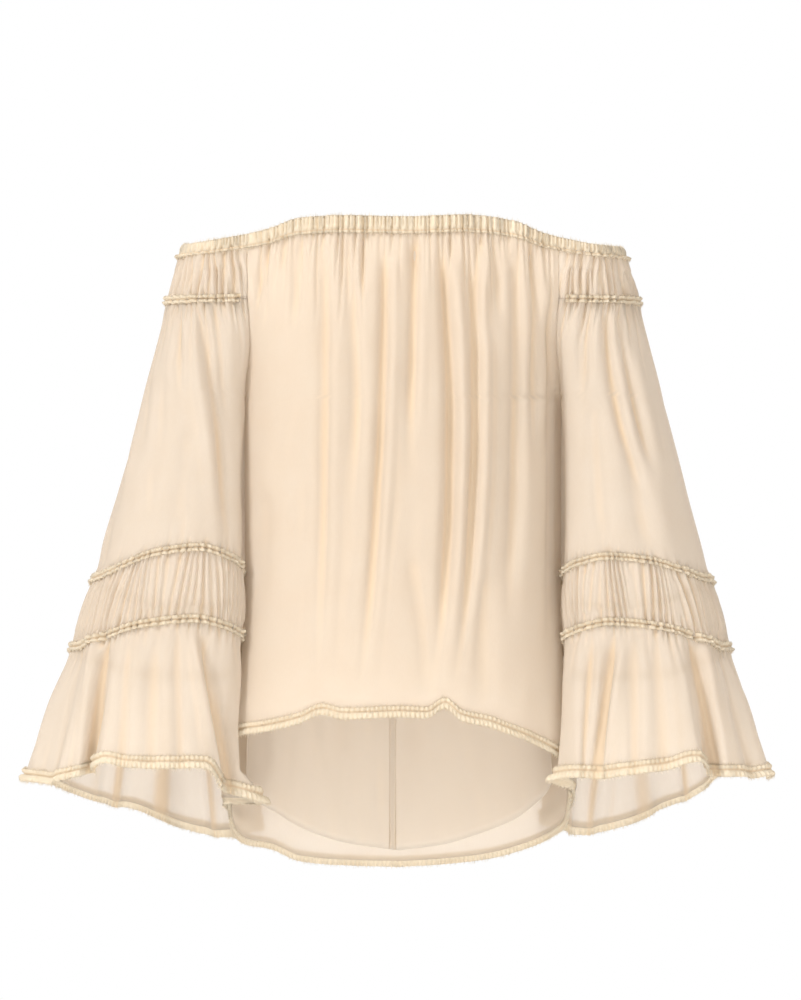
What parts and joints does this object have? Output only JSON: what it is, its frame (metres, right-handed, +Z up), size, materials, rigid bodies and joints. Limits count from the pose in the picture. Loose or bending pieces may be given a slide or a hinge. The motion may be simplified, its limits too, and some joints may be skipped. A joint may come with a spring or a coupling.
{
  "type": "silk blouse",
  "caption": "Pale champagne silk chiffon off-the-shoulder blouse, hollow as worn, with gathered neckline, lined body, sheer flared sleeves, flounces and frayed trims.",
  "frame": {"origin": "middle of the neckline, level with the tops of the shoulders, where the wearer's shoulders hold the blouse", "axes": "+Z up, -Y to the wearer's front, +X to the right as seen from the front"},
  "size_m": [0.7537, 0.2382, 0.6583],
  "materials": {
    "chiffon": "matte",
    "lining": "satin",
    "frayed_trim": "matte"
  },
  "bodies": {
    "root": {"front_panel": "chiffon", "back_panel": "chiffon", "shoulder_band_left": "chiffon", "shoulder_band_right": "chiffon", "upper_sleeve_left": "chiffon", "upper_sleeve_right": "chiffon", "cuff_band_left": "chiffon", "cuff_band_right": "chiffon", "flounce_left": "chiffon", "flounce_right": "chiffon", "lining_front": "lining", "lining_back_left": "lining", "lining_back_right": "lining", "neckline_trim": "frayed_trim", "shoulder_trim_left": "frayed_trim", "shoulder_trim_right": "frayed_trim", "cuff_trim_upper_left": "frayed_trim", "cuff_trim_upper_right": "frayed_trim", "cuff_trim_lower_left": "frayed_trim", "cuff_trim_lower_right": "frayed_trim", "flounce_trim_left": "frayed_trim", "flounce_trim_right": "frayed_trim", "hem_trim_front": "frayed_trim", "hem_trim_back": "frayed_trim"}
  },
  "joints": []
}
